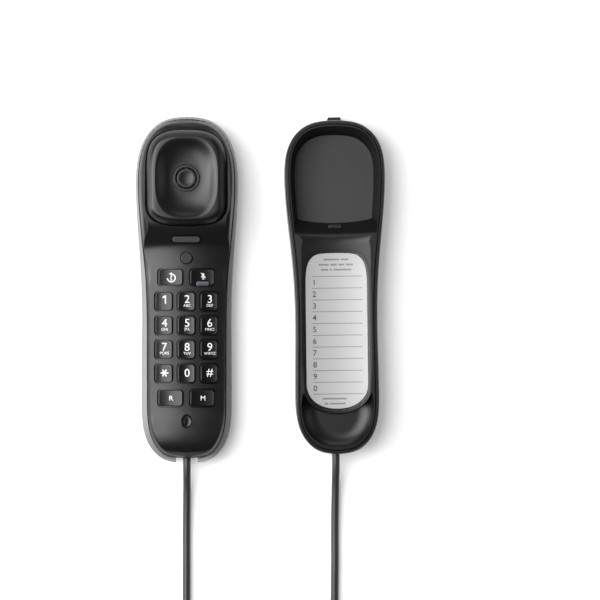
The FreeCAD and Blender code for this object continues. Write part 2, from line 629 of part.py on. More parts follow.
def make_housing():
    """Outer shell of the cradle: back, walls, rim and the tab at the ear end."""
    rows = [(0.0, 1.5), (0.1, 0.8), (1.0, 0.2), (3.0, 0.0), (8.0, 0.0), (lambda y: 0.8 * rim_z(y), 0.0),
            (lambda y: rim_z(y) - 1.4, 0.15), (lambda y: rim_z(y) - 0.3, 0.6), (lambda y: rim_z(y) + 0.2, 1.7),
            (32.0, 2.1)]
    shell = skin(levels(CRADLE_PLAN, rows)).cut([above(RIM_Z), prism(CRADLE_PLAN, FLOOR, 40, RIM_WIDTH)])
    tab_points = [Vector(-5.2, 101.4, 3), Vector(-3.4, 106.3, 3), Vector(4.1, 106.3, 3), Vector(5.9, 101.4, 3)]
    tab = Part.Face(Part.makePolygon(tab_points + tab_points[:1])).extrude(Vector(0, 0, 6.0))
    extras = [tab.makeFillet(0.5, edges_at(tab, 9.0))]
    tools = [centred_box(CRADLE_CORD_X, -101, JACK_Z - 4.7, (8.8, 12, 8.3)),
             centred_box(LINE_JACK_X, -96.5, JACK_Z - 3.9, (10.2, 14, 7.2)), switch_slot()]
    for x, y in SCREW_SPOTS_CRADLE:
        extras.append(post(x, y, 1, 4.4, 4.0))
        tools += [post(x, y, -1, 2.6, 3.0), post(x, y, 2, 5, 1.5)]
    for x, y in BOARD_SPOTS:
        extras.append(post(x, y, FLOOR - 0.5, 5.2, 2.0))
    for x, y in FOOT_SPOTS:
        tools.append(post(x, y, -1, FOOT_THICK, FOOT_R))
    for y in KEYHOLE_HEADS_Y:
        tools.append(post(0, y, -1, FLOOR + 1, KEYHOLE_R))
        tools.append(centred_box(0, y + KEYHOLE_SLOT[1] / 2, -1, (KEYHOLE_SLOT[0], KEYHOLE_SLOT[1], FLOOR + 2)))
        tools.append(post(0, y + KEYHOLE_SLOT[1], -1, FLOOR + 1, KEYHOLE_SLOT[0] / 2))
    return shell.fuse(extras).cut(tools).removeSplitter()


def trough(rise=0.0):
    """Everything above the hollowed surface that runs from the lower end over the card's place and down the
    saddle, raised by rise."""
    return above(SADDLE_Z, -rise, lambda y: along(SADDLE_BOW, y) / (2 * CROWN_R))


def basin_ring(height, inset):
    """Outline of the lower hollow at one height, following the cradle's end."""
    plan = Plan(-50.0 - inset, -72.0, 2.0, -72.0, 22.6 - inset, 1, -72.1, 22.6 - inset, -72.2, 22.6 - inset, 1,
                -72.2, -99.4 + inset, 2.3)
    return ring(plan, height)


def make_cradle_face():
    """Inner shell of the cradle, with the ear hollow, the saddle, the card's place and the lower hollow."""
    edge = RIM_WIDTH + RIM_GAP
    body = prism(CRADLE_PLAN, 4.0, 32.0, edge).cut(above(RIM_Z, FACE_DROP))
    wall_rows = [(HOLLOW_Z, 1.0), (7.6, 0.8), (11.0, 0.55), (16.0, 0.25), (20.0, 0.08), (23.0, 0.0), (32.0, -0.05)]
    tray_rings = []
    for height, share in wall_rows:
        inset = [(y, TRAY_TOP_INSET + share * (foot - TRAY_TOP_INSET)) for y, foot in TRAY_FLOOR_INSET]
        tray_rings.append(ring(CRADLE_PLAN, height, lambda y, inset=inset: along(inset, y)))
    tray = skin(tray_rings).common(trough())
    groove = prism(WINDOW_PLAN, 10.0, 30.0, -GROOVE_OFF - GROOVE_WIDTH).cut(prism(WINDOW_PLAN, 10.0, 30.0, -GROOVE_OFF))
    groove = groove.common(trough(-GROOVE_DEEP)).common(box(-BIG, BIG, -49.0, 40.0, 0, 30))
    basin_rows = [(BASIN_Z, 10.0), (BASIN_Z, 8.0), (16.2, 4.8), (18.0, 2.3), (20.4, 0.4), (24.0, -1.4)]
    island = skin(levels(WINDOW_PLAN, [(10.0, -3.4), (16.6, -2.0), (PLATEAU_Z, -1.1), (30.0, -1.1)]))
    basin = skin([basin_ring(*row) for row in basin_rows]).cut(island)
    tools = [tray, basin, prism(WINDOW_PLAN, 10.0, 30.0).common(trough(-WINDOW_SUNK - WINDOW_THICK)),
             prism(WINDOW_PLAN, 10.0, 30.0, 1.2).common(trough(-WINDOW_SUNK - WINDOW_THICK - CARD_AIR - CARD_THICK)),
             groove, nib_block(0.0), switch_slot()]
    inside = prism(CRADLE_PLAN, 3.0, 16.2, edge + WALL)
    tools.append(inside.common(box(-BIG, BIG, -66, 24.0, 0, 30)))
    slope = [Vector(-BIG, 23.9, 0), Vector(-BIG, 38, 0), Vector(-BIG, 38, 3.8), Vector(-BIG, 23.9, 12.5)]
    tools.append(inside.common(Part.Face(Part.makePolygon(slope + slope[:1])).extrude(Vector(2 * BIG, 0, 0))))
    tools.append(box(-BIG, BIG, -110, -65.9, 0, 13.3))
    bosses = [post(x, y, 4.6, 17.0, 3.0) for x, y in SCREW_SPOTS_CRADLE]
    pilot_holes = [post(x, y, 4, 14, 1.15) for x, y in SCREW_SPOTS_CRADLE]
    return body.cut(tools).fuse(bosses).cut(pilot_holes).removeSplitter()


def nib_block(gap):
    """Small hook that stands out of the saddle slope."""
    block = box(-4.1 - gap, 4.1 + gap, NIB_SPOT[0] - gap, NIB_SPOT[1] + gap, 4.6, NIB_Z)
    rounded = [edge for edge in block.Edges if abs(edge.tangentAt(edge.FirstParameter).z) > 0.9]
    return block.makeFillet(0.8, rounded)


def make_nib():
    nib = nib_block(0.0)
    return nib.makeFillet(0.5, edges_at(nib, NIB_Z))


def between(plan, inset, low_rise, high_rise):
    """Sheet on a plan's outline between two surfaces parallel to the trough."""
    return prism(plan, 10.0, 30.0, inset).common(trough(low_rise)).cut(trough(high_rise))


def cradle_pieces():
    """Every solid of the cradle by node name."""
    window_low = -WINDOW_SUNK - WINDOW_THICK
    card_top = window_low - CARD_AIR
    pieces = {
        "cradle_housing": make_housing(),
        "cradle_face": make_cradle_face(),
        "hanger_nib": make_nib(),
        "index_card": between(WINDOW_PLAN, 1.35, card_top - CARD_THICK, card_top),
        "card_window": between(WINDOW_PLAN, 0.3, window_low, -WINDOW_SUNK),
        "cradle_board": make_cradle_board(),
        "ringer_disc": make_ringer(),
        "switch_body": make_switch_body(),
        "ringer_switch": make_switch_slider(),
        "rubber_feet": Part.makeCompound([post(x, y, 0, FOOT_THICK, FOOT_R) for x, y in FOOT_SPOTS]),
        "cradle_screws": screws(SCREW_SPOTS_CRADLE, 0.8, 11.0),
    }
    for name, shape in (("cradle_jack", make_jack()), ("cradle_plug", make_plug(CRADLE_PLUG_BACK))):
        shape.translate(Vector(CRADLE_CORD_X, CRADLE_JACK_Y, JACK_Z))
        pieces[name] = shape
    line_jack = centred_box(LINE_JACK_X, LINE_JACK_Y, JACK_Z - 5.2, (13.0, 13.0, 10.4))
    mouth = centred_box(LINE_JACK_X, LINE_JACK_Y - 2.5, JACK_Z - 3.3, (9.8, 13.0, 6.6))
    pieces["line_jack"] = line_jack.cut(mouth)
    return pieces


def make_cradle_board():
    board = box(-15.0, 15.0, -48.0, -2.0, 5.2, 6.8)
    return fused([board, centred_box(-9, -40, 6.7, (7, 10, 5)), post(9.5, -42, 6.7, 13.0, 3.0)])


def make_ringer():
    """Flat sounder case with a hole in its top."""
    return post(0, -22, 6.8, 11.6, 12.0).cut(post(0, -22, 10.6, 12, 1.5))


def make_switch_body():
    body = centred_box(18.0, SWITCH_Y, SWITCH_Z - 2.6, (4.0, 11.0, 5.2))
    return body.cut(centred_box(19.5, SWITCH_Y, SWITCH_Z - 1.0, (3.0, 2 * SWITCH_TRAVEL + 2.6, 2.0)))


def make_switch_slider():
    """Slider of the ringer volume switch, drawn in the middle of its travel and flush with the wall."""
    outside = half_width(CRADLE_PLAN, SWITCH_Y) - 0.4
    stem = centred_box(21.0, SWITCH_Y, SWITCH_Z - 0.7, (4.6, 1.8, 1.4))
    knob = centred_box(outside - SWITCH_KNOB[0] / 2, SWITCH_Y, SWITCH_Z - SWITCH_KNOB[2] / 2, SWITCH_KNOB)
    return stem.fuse(knob).removeSplitter()


def make_cord(name, points, diameter):
    """Tube on straight runs joined by tangent arcs as large as the runs allow; prints the arcs' radii."""
    edges = []
    radii = []
    last = points[0]
    for before, corner, after in zip(points, points[1:], points[2:]):
        into = (corner - before).normalize()
        out = (after - corner).normalize()
        turn = into.getAngle(out)
        cut = 0.45 * min((corner - before).Length, (after - corner).Length)
        radius = cut / math.tan(turn / 2)
        start = corner - into * cut
        end = corner + out * cut
        middle_way = (out - into).normalize()
        middle = corner + middle_way * (radius / math.cos(turn / 2) - radius)
        edges.append(Part.makeLine(last, start))
        edges.append(Part.Arc(start, middle, end).toShape())
        radii.append(radius)
        last = end
    edges.append(Part.makeLine(last, points[-1]))
    path = Part.Wire(edges)
    section = Part.Wire([Part.makeCircle(diameter / 2, points[0], points[1] - points[0])])
    solid = path.makePipeShell([section], True, False)
    expected = math.pi * (diameter / 2) ** 2 * path.Length
    print(name, "arc radii, mm:", " ".join("%.0f" % radius for radius in radii))
    print(name, "length %.1f mm, volume over section times length %.3f" % (path.Length, solid.Volume / expected))
    return solid


def tail_points(places):
    return [Vector(x, y, z) for (x, y), z in zip(places, TAIL_HEIGHTS)]


def export(name, shape):
    solids = shape.Solids
    print("%-22s %d solids, %9.1f mm3, valid %s" % (name, len(solids), shape.Volume, shape.isValid()))
    whole = solids[0] if len(solids) == 1 else Part.makeCompound(solids)
    whole.exportStep("parts/" + name + ".step")


def main():
    for name, shape in cradle_pieces().items():
        export(name, shape)
    for name, shape in handset_pieces().items():
        moved = shape.copy()
        moved.Placement = HANDSET_PLACE.multiply(moved.Placement)
        export(name, moved)
    export("handset_cord_tail", make_cord("handset_cord_tail", tail_points(HANDSET_TAIL), CORD_D))
    export("cradle_cord_tail", make_cord("cradle_cord_tail", tail_points(CRADLE_TAIL), CORD_D))
    curls = [Vector(x, y, CURLS_D / 2 + 0.1) for x, y in CURL_ROUTE]
    export("curly_cord", make_cord("curly_cord", curls, CURLS_D))


main()
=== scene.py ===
import json
import math

import bpy
import numpy as np
from mathutils import Matrix, Vector
from mathutils.bvhtree import BVHTree


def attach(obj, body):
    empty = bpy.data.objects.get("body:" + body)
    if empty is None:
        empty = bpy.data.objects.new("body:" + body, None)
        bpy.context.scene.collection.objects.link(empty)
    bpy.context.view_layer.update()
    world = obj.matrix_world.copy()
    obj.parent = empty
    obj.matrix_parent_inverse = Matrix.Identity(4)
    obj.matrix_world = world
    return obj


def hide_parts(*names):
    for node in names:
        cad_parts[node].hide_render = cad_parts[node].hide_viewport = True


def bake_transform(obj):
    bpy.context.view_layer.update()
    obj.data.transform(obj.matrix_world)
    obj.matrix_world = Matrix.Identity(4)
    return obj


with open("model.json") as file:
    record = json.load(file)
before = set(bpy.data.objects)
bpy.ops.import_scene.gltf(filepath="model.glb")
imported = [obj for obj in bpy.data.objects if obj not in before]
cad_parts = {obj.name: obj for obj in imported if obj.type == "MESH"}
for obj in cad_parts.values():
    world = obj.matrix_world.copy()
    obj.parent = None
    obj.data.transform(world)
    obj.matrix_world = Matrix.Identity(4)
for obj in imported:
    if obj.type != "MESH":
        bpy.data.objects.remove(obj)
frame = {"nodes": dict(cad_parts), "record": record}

# Sizes are metres unless a comment says millimetres.
# The handset's own frame has +Y towards its ear end.
MM = 0.001
HANDSET_ORIGIN = Vector((-92.4, 0.1, 0)) * MM
HANDSET_TURN = math.radians(0.7)
HANDSET_PLACE = Matrix.Translation(HANDSET_ORIGIN) @ Matrix.Rotation(-HANDSET_TURN, 4, "Z")
PRINT_LIFT = 0.03 * MM
OVERHEAD = 100 * MM         # above every surface, for rays cast straight down

# The camera looks straight down from where the photograph's perspective puts it
CAMERA_PLACE = Vector((-68.7, -0.22, 1600)) * MM
CAMERA_LENS = 153.6         # millimetres, as is the sensor's width
SENSOR_WIDTH = 36
CAMERA_REACH = 10
CAMERA_SHIFT = (0.125, -0.0167)

# Light: each lamp's name, place, target, size across and along, and power in watts
WORLD_STRENGTH = 0.15
LAMPS = [
    ("left_softbox", (-0.85, 0.2, 1.3), (-0.06, 0, 0), (1.25, 1.4), 33),
    ("left_strip", (-1.25, 0.0, 0.45), (-0.1, 0, 0), (0.5, 1.2), 9),
    ("right_softbox", (1.2, 0.1, 0.6), (-0.06, 0, 0), (0.6, 1.2), 1.5),
    ("back_softbox", (-0.05, 1.4, 0.6), (-0.05, 0, 0), (1.6, 0.5), 4.8),
]
FLOOR_HALF = 3              # half the side of the square floor
FLOOR_TONES = (0.88, 0.9)
FLOOR_GRAIN = 300.0         # the paper's mottling, per metre
FLOOR_GLOW = 0.25           # added to the floor where it is seen, so that it looks white

# Finishes
PATCH_SIZE = 18 * MM        # shinier and duller patches of plastic
GRAIN_DEPTH = 0.02 * MM
COAT_ROUGHNESS = 0.12
BLACK = 0.002
BLACK_SHINE = 0.47
HOLLOW_FLOOR_Z = 6.15 * MM  # the textured floor of the ear hollow lies under this height
LENS_SHADE_Y = (2.4 * MM, 4.2 * MM)     # from here to here the lens goes from dark to light
LENS_DARK = (0.007, 0.005, 0.013)
LENS_LIGHT = (0.08, 0.075, 0.1)
FLAKE_SIZE = 0.2 * MM
SILVER_TONES = (0.19, 0.26)
SILVER_METALLIC = 0.2

# The cord
CORD_D = 4.8 * MM
CURL_R = 5.2 * MM
CURL_PITCH = 6.6 * MM
CURL_RAMP = 22 * MM         # how far the curls take to reach their full size
CURL_STEP = 0.5 * MM        # between points of the route that is wound
CORD_STEP = 0.9 * MM        # between the tube's rings
CORD_SIDES = 16
ROUTE_RESOLUTION = 24

# The cord's route in millimetres, the same points as the part's source has
LYING_Z = 2.5
HANDSET_TAIL = [(-93.67, -103.9), (-93.78, -112.5), (-93.9, -124.0), (-94.5, -148.0), (-94.8, -176.0),
                (-95.2, -204.0)]
CRADLE_TAIL = [(-1.0, -102.4), (-1.0, -111.0), (-1.4, -123.0), (-2.0, -147.0), (-2.2, -174.0),
               (-2.9, -202.0)]
TAIL_HEIGHTS = [7.9, 7.9, 4.4, LYING_Z, LYING_Z, LYING_Z]
CURL_ROUTE = [(-2.9, -202.0), (-3.4, -222.0), (2.4, -251.8), (2.4, -294.0), (-28.0, -324.4),
              (-70.2, -324.4), (-100.6, -294.0), (-100.6, -252.0), (-95.45, -222.5), (-95.2, -204.15)]

# Printing on the keys, in millimetres in the handset's own frame: each key, its middle and its signs
COLUMNS = (-13.96, 0.0, 13.96)
ROWS = (-7.07, -21.8, -36.6, -51.5)
KEYS = [
    ("key_2", (COLUMNS[1], ROWS[0]), "2", "ABC"),
    ("key_3", (COLUMNS[2], ROWS[0]), "3", "DEF"),
    ("key_4", (COLUMNS[0], ROWS[1]), "4", "GHI"),
    ("key_5", (COLUMNS[1], ROWS[1]), "5", "JKL"),
    ("key_6", (COLUMNS[2], ROWS[1]), "6", "MNO"),
    ("key_7", (COLUMNS[0], ROWS[2]), "7", "PQRS"),
    ("key_8", (COLUMNS[1], ROWS[2]), "8", "TUV"),
    ("key_9", (COLUMNS[2], ROWS[2]), "9", "WXYZ"),
    ("key_0", (COLUMNS[1], ROWS[3]), "0", ""),
    ("key_hash", (COLUMNS[2], ROWS[3]), "#", ""),
]
# Keys with one letter, and the letter's height
LETTER_KEYS = [("recall_key", (-9.8, -66.7), "R", 3.2), ("memory_key", (9.8, -66.7), "M", 3.1)]
PRINT_RIGHT = 0.35          # the printing sits this far right of the keys' middle
DIGIT_HIGH = 5.1
DIGIT_UP = 1.5
LONE_DIGIT_UP = 0.4
STROKE = 0.72
STAR_R = 2.4
LETTERS_HIGH = 1.75
LETTERS_DOWN = 2.5
CAPITAL_SHARE = 0.73        # height of a capital over the size of the type
TYPE_RESOLUTION = 6

# Painted shade: a dark line laid in the joint between the handset's shells, standing in for the shadow in
# the groove there, in millimetres in the handset's own frame
SEAM_ENDS_Y = (-71.0, 63.0)
SEAM_SIDE_STEPS = 45
SEAM_END_STEPS = 36
SEAM_SEARCH_FROM = 45.0     # from here inwards the front shell's edge is looked for
SEAM_SEARCH_STEP = 0.05
SEAM_SHADE_IN = 0.3          # how far the painted shade line reaches to either side of that edge
SEAM_SHADE_OUT = 0.4

# Printing on the card, in millimetres in the cradle's frame
CARD_ROWS = 10
CARD_TOP_RULE_Y = 7.4
CARD_PITCH = 7.27
CARD_RULE_X = (-14.9, 16.1)
CARD_RULE_THICK = 0.5
CARD_DIGIT_X = -13.6
CARD_DIGIT_HIGH = 3.6
CARD_DIGIT_BOLD = 0.05
CARD_WORD_HIGH = 1.1
BAR_STEP = 2.0
CARD_WORDS = [              # each line's y, and the ends in x of its bars
    (17.8, [(-7.7, 2.0), (3.0, 7.7)]),
    (14.6, [(-10.6, -4.4), (-3.4, 0.6), (1.6, 5.2), (6.2, 10.6)]),
    (11.5, [(-9.4, -4.8), (-3.8, -2.6), (-1.6, 9.4)]),
    (-68.2, [(-9.2, 5.6)]),
    (-71.3, [(-8.0, -5.6), (-4.6, 5.0)]),
]


def write_box():
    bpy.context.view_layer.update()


def set_camera():
    data = bpy.data.cameras.new("camera")
    data.lens = CAMERA_LENS
    data.sensor_width = SENSOR_WIDTH
    data.shift_x = CAMERA_SHIFT[0]
    data.shift_y = CAMERA_SHIFT[1]
    data.clip_end = CAMERA_REACH
    camera = bpy.data.objects.new("camera", data)
    camera.location = CAMERA_PLACE
    camera.rotation_euler = (0, 0, -HANDSET_TURN)
    bpy.context.scene.collection.objects.link(camera)
    bpy.context.scene.camera = camera


def new_piece(name, mesh):
    piece = bpy.data.objects.new(name, mesh)
    bpy.context.scene.collection.objects.link(piece)
    return piece


def smooth(mesh):
    for polygon in mesh.polygons:
        polygon.use_smooth = True


def paint(piece, material):
    piece.data.materials.clear()
    piece.data.materials.append(material)


# Materials

def new_material(name):
    material = bpy.data.materials.new(name)
    material.use_nodes = True
    tree = material.node_tree
    return material, tree, tree.nodes["Principled BSDF"]


def add(tree, kind, **settings):
    node = tree.nodes.new(kind)
    for key, setting in settings.items():
        if hasattr(node, key):
            setattr(node, key, setting)
        else:
            node.inputs[key.replace("_", " ")].default_value = setting
    return node


def plastic(name, colour, roughness, grain=0.1, grain_size=0.25, wear=0.05, specular=0.5, coat=0.0):
    """Moulded plastic: a fine grain, and patches a little shinier or duller than the rest."""
    material, tree, shader = new_material(name)
    place = add(tree, "ShaderNodeTexCoord")
    fine = add(tree, "ShaderNodeTexNoise", Scale=1 / (grain_size * MM), Detail=3.0)
    broad = add(tree, "ShaderNodeTexNoise", Scale=1 / PATCH_SIZE, Detail=2.0)
    spread = add(tree, "ShaderNodeMapRange", To_Min=roughness - wear, To_Max=roughness + wear)
    bump = add(tree, "ShaderNodeBump", Strength=grain, Distance=GRAIN_DEPTH)
    tree.links.new(place.outputs["Object"], fine.inputs["Vector"])
    tree.links.new(place.outputs["Object"], broad.inputs["Vector"])
    tree.links.new(broad.outputs["Fac"], spread.inputs["Value"])
    tree.links.new(spread.outputs["Result"], shader.inputs["Roughness"])
    tree.links.new(fine.outputs["Fac"], bump.inputs["Height"])
    tree.links.new(bump.outputs["Normal"], shader.inputs["Normal"])
    if isinstance(colour, float):
        colour = (colour, colour, colour)
    shader.inputs["Base Color"].default_value = (*colour, 1)
    shader.inputs["Specular IOR Level"].default_value = specular
    shader.inputs["Coat Weight"].default_value = coat
    shader.inputs["Coat Roughness"].default_value = COAT_ROUGHNESS
    return material


def floored_plastic(name, colour, roughness, floor_colour, floor_roughness):
    """Shiny black plastic whose lowest surface has a fine matt texture."""
    material = plastic(name, colour, roughness, grain=0.05, specular=BLACK_SHINE)
    tree = material.node_tree
    shader = tree.nodes["Principled BSDF"]
    parts = add(tree, "ShaderNodeSeparateXYZ")
    is_floor = add(tree, "ShaderNodeMath", operation="LESS_THAN")
    is_floor.inputs[1].default_value = HOLLOW_FLOOR_Z
    tone = add(tree, "ShaderNodeMapRange", To_Min=colour, To_Max=floor_colour)
    finish = add(tree, "ShaderNodeMapRange", To_Min=roughness, To_Max=floor_roughness)
    tree.links.new(tree.nodes["Texture Coordinate"].outputs["Object"], parts.inputs["Vector"])
    tree.links.new(parts.outputs["Z"], is_floor.inputs[0])
    tree.links.new(is_floor.outputs["Value"], tone.inputs["Value"])
    tree.links.new(is_floor.outputs["Value"], finish.inputs["Value"])
    tree.links.new(tone.outputs["Result"], shader.inputs["Base Color"])
    tree.links.new(finish.outputs["Result"], shader.inputs["Roughness"])
    return material


def shaded_lens():
    """Smoked lens, darker towards its lower edge."""
    material = plastic("lens", 0.05, 0.25, grain=0.03)
    tree = material.node_tree
    parts = add(tree, "ShaderNodeSeparateXYZ")
    rise = add(tree, "ShaderNodeMapRange", From_Min=LENS_SHADE_Y[0], From_Max=LENS_SHADE_Y[1])
    tone = add(tree, "ShaderNodeValToRGB")
    tone.color_ramp.elements[0].color = (*LENS_DARK, 1)
    tone.color_ramp.elements[1].color = (*LENS_LIGHT, 1)
    tree.links.new(tree.nodes["Texture Coordinate"].outputs["Object"], parts.inputs["Vector"])
    tree.links.new(parts.outputs["Y"], rise.inputs["Value"])
    tree.links.new(rise.outputs["Result"], tone.inputs["Fac"])
    tree.links.new(tone.outputs["Color"], tree.nodes["Principled BSDF"].inputs["Base Color"])
    return material


def silver_paint():
    """Satin metallic paint: flakes that catch the light differently from each other."""
    material = plastic("silver_paint", 0.22, 0.47, grain=0.12, grain_size=0.15)
    tree = material.node_tree
    shader = tree.nodes["Principled BSDF"]
    flakes = add(tree, "ShaderNodeTexVoronoi", Scale=1 / FLAKE_SIZE)
    tone = add(tree, "ShaderNodeMapRange", To_Min=SILVER_TONES[0], To_Max=SILVER_TONES[1])
    tree.links.new(tree.nodes["Texture Coordinate"].outputs["Object"], flakes.inputs["Vector"])
    tree.links.new(flakes.outputs["Distance"], tone.inputs["Value"])
    tree.links.new(tone.outputs["Result"], shader.inputs["Base Color"])
    shader.inputs["Metallic"].default_value = SILVER_METALLIC
    return material


def metal(name, colour, roughness):
    material = plastic(name, colour, roughness, grain=0.2, grain_size=0.4)
    material.node_tree.nodes["Principled BSDF"].inputs["Metallic"].default_value = 1
    return material


def clear_plastic(name, tint):
    """Thin clear plastic: light goes straight through, and the surface reflects by angle."""
    material, tree, shader = new_material(name)
    tree.nodes.remove(shader)
    through = add(tree, "ShaderNodeBsdfTransparent", Color=(*tint, 1))
    shine = add(tree, "ShaderNodeBsdfGlossy", Roughness=0.3)
    angle = add(tree, "ShaderNodeFresnel", IOR=1.3)
    haze = add(tree, "ShaderNodeTexNoise", Scale=1 / (2 * MM))
    bump = add(tree, "ShaderNodeBump", Strength=0.05, Distance=GRAIN_DEPTH)
    mix = add(tree, "ShaderNodeMixShader")
    tree.links.new(haze.outputs["Fac"], bump.inputs["Height"])
    tree.links.new(bump.outputs["Normal"], shine.inputs["Normal"])
    tree.links.new(angle.outputs["Fac"], mix.inputs["Fac"])
    tree.links.new(through.outputs["BSDF"], mix.inputs[1])
    tree.links.new(shine.outputs["BSDF"], mix.inputs[2])
    tree.links.new(mix.outputs["Shader"], tree.nodes["Material Output"].inputs["Surface"])
    return material


def make_materials():
    return {
        "silver_shell": silver_paint(),
        "black_shell": plastic("black_shell", BLACK, 0.34, grain=0.05, wear=0.03, specular=BLACK_SHINE),
        "black_soft": plastic("black_soft", BLACK, 0.33, grain=0.05, wear=0.03, specular=BLACK_SHINE),
        "black_textured": floored_plastic("black_textured", BLACK, 0.38, 0.03, 0.65),
        "key_plastic": plastic("key_plastic", BLACK, 0.27, grain=0.05, wear=0.03, specular=0.4),
        "lens": shaded_lens(),
        "socket_plastic": plastic("socket_plastic", 0.02, 0.5),
        "clear_plastic": clear_plastic("clear_plastic", (0.97, 0.97, 0.97)),
        "cord_jacket": plastic("cord_jacket", 0.02, 0.4, grain=0.1, specular=0.6),
        "capsule_metal": metal("capsule_metal", (0.03, 0.03, 0.032), 0.5),
        "foam_rubber": plastic("foam_rubber", 0.02, 0.8, grain=0.6, grain_size=0.6),
        "mat_rubber": plastic("mat_rubber", (0.20, 0.20, 0.21), 0.6, grain=0.3),
        "circuit_board": plastic("circuit_board", (0.03, 0.16, 0.05), 0.4, grain=0.2, coat=0.3),
        "spring_steel": metal("spring_steel", 0.6, 0.3),
        "weight_steel": metal("weight_steel", 0.3, 0.55),
        "screw_steel": metal("screw_steel", (0.45, 0.45, 0.46), 0.35),
        "card_paper": plastic("card_paper", 0.66, 0.7, grain=0.3, grain_size=0.4, specular=0.3),
        "white_ink": plastic("white_ink", 0.88, 0.5, grain=0.2),
        "grey_ink": plastic("grey_ink", 0.33, 0.6, grain=0.2),
        "dark_ink": plastic("dark_ink", 0.08, 0.6, grain=0.2),
        # the dark, dull finish of the painted shade line in the joint between the handset's shells
        "seam_painted_shade": plastic("seam_painted_shade", 0.001, 0.8, specular=0.1),
    }


def paint_frame_nodes():
    for entry in frame["record"]["subparts"]:
        name = entry["material_slot"]
        if entry["node"] in frame["nodes"]:
            paint(frame["nodes"][entry["node"]], materials[name])


# Cord

def spline_points(name, route):
    """Points along the smooth curve that a route's control points give."""
    curve = bpy.data.curves.new(name, "CURVE")
    curve.dimensions = "3D"
    curve.resolution_u = ROUTE_RESOLUTION
    spline = curve.splines.new("NURBS")
    spline.points.add(len(route) - 1)
    for point, place in zip(spline.points, route):
        point.co = (*(Vector(place) * MM), 1)
    spline.order_u = 3
    spline.use_endpoint_u = True
    holder = bpy.data.objects.new(name, curve)
    bpy.context.scene.collection.objects.link(holder)
    bpy.context.view_layer.update()
    line = bpy.data.meshes.new_from_object(holder)
    points = np.array([vertex.co[:] for vertex in line.vertices])
    bpy.data.objects.remove(holder)
    return points


def spaced(points, step):
    """The same line with points at an even spacing."""
    runs = np.linalg.norm(np.diff(points, axis=0), axis=1)
    lengths = np.concatenate([[0], np.cumsum(runs)])
    count = max(2, round(lengths[-1] / step))
    stops = np.linspace(0, lengths[-1], count + 1)
    return np.stack([np.interp(stops, lengths, points[:, axis]) for axis in range(3)], axis=1), stops


def ease(share):
    return share * share * (3 - 2 * share)


def curls(points):
    """The wire of the curled stretch, wound round its route, with its ends run out straight."""
    line, stops = spaced(points, CURL_STEP)
    total = stops[-1]
    begun = np.clip((stops - CORD_D) / CURL_RAMP, 0, 1)
    left = np.clip((total - stops - CORD_D) / CURL_RAMP, 0, 1)
    grown = ease(np.minimum(begun, left))
    angle = np.cumsum(grown ** 2) * (stops[1] - stops[0]) * 2 * math.pi / CURL_PITCH
    heading = np.gradient(line, axis=0)
    heading /= np.linalg.norm(heading, axis=1)[:, None]
    side = np.cross(heading, (0, 0, 1))
    radius = CURL_R * grown
    wound = line + side * (radius * np.cos(angle))[:, None]
    wound[:, 2] += radius * (1 + np.sin(angle))
    return wound


def tube(name, points, radius):
    """Mesh tube with flat ends along a line of points."""
    heading = np.gradient(points, axis=0)
    heading /= np.linalg.norm(heading, axis=1)[:, None]
    side = np.cross(heading[0], (0, 0, 1))
    vertices = []
    for point, way in zip(points, heading):
        side = side - way * np.dot(side, way)
        side /= np.linalg.norm(side)
        up = np.cross(way, side)
        for k in range(CORD_SIDES):
            turn = 2 * math.pi * k / CORD_SIDES
            vertices.append(point + radius * (math.cos(turn) * side + math.sin(turn) * up))
    faces = []
    for ring in range(len(points) - 1):
        for k in range(CORD_SIDES):
            here = ring * CORD_SIDES + k
            beside = ring * CORD_SIDES + (k + 1) % CORD_SIDES
            faces.append((here, beside, beside + CORD_SIDES, here + CORD_SIDES))
    faces.append(tuple(reversed(range(CORD_SIDES))))
    faces.append(tuple(range(len(vertices) - CORD_SIDES, len(vertices))))
    mesh = bpy.data.meshes.new(name)
    mesh.from_pydata([tuple(vertex) for vertex in vertices], [], faces)
    smooth(mesh)
    return new_piece(name, mesh)


def tail_route(places):
    return [(x, y, z) for (x, y), z in zip(places, TAIL_HEIGHTS)]


def make_cord():
    cradle_tail = spline_points("cradle_tail", tail_route(CRADLE_TAIL))
    handset_tail = spline_points("handset_tail", tail_route(HANDSET_TAIL))
    route = spline_points("curl_route", [(x, y, LYING_Z) for x, y in CURL_ROUTE])
    whole = np.concatenate([cradle_tail[:-1], curls(route), handset_tail[::-1][1:]])
    path, stops = spaced(whole, CORD_STEP)
    cord = tube("handset_cord", path, CORD_D / 2)
    paint(cord, materials["cord_jacket"])
    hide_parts("cradle_cord_tail", "curly_cord", "handset_cord_tail")
    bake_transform(cord)


# Printing

def gathered(meshes):
    """The corners and faces of several meshes as one list of each."""
    vertices = []
    faces = []
    for mesh in meshes:
        first = len(vertices)
        vertices += [vertex.co.copy() for vertex in mesh.vertices]
        faces += [[first + index for index in polygon.vertices] for polygon in mesh.polygons]
    return vertices, faces


def surface_of(*names):
    """The surface of CAD nodes, for laying things on."""
    return BVHTree.FromPolygons(*gathered([frame["nodes"][name].data for name in names]))


def surface_under(surface, x, y):
    """The point where a surface is met from straight above, if it lies there."""
    return surface.ray_cast(Vector((x, y, OVERHEAD)), Vector((0, 0, -1)))[0]


def lay_on(mesh, surface):
    """Drops a flat mesh straight down onto a surface."""
    for vertex in mesh.vertices:
        hit = surface_under(surface, vertex.co.x, vertex.co.y)
        if hit is not None:
            vertex.co.z = hit.z + PRINT_LIFT


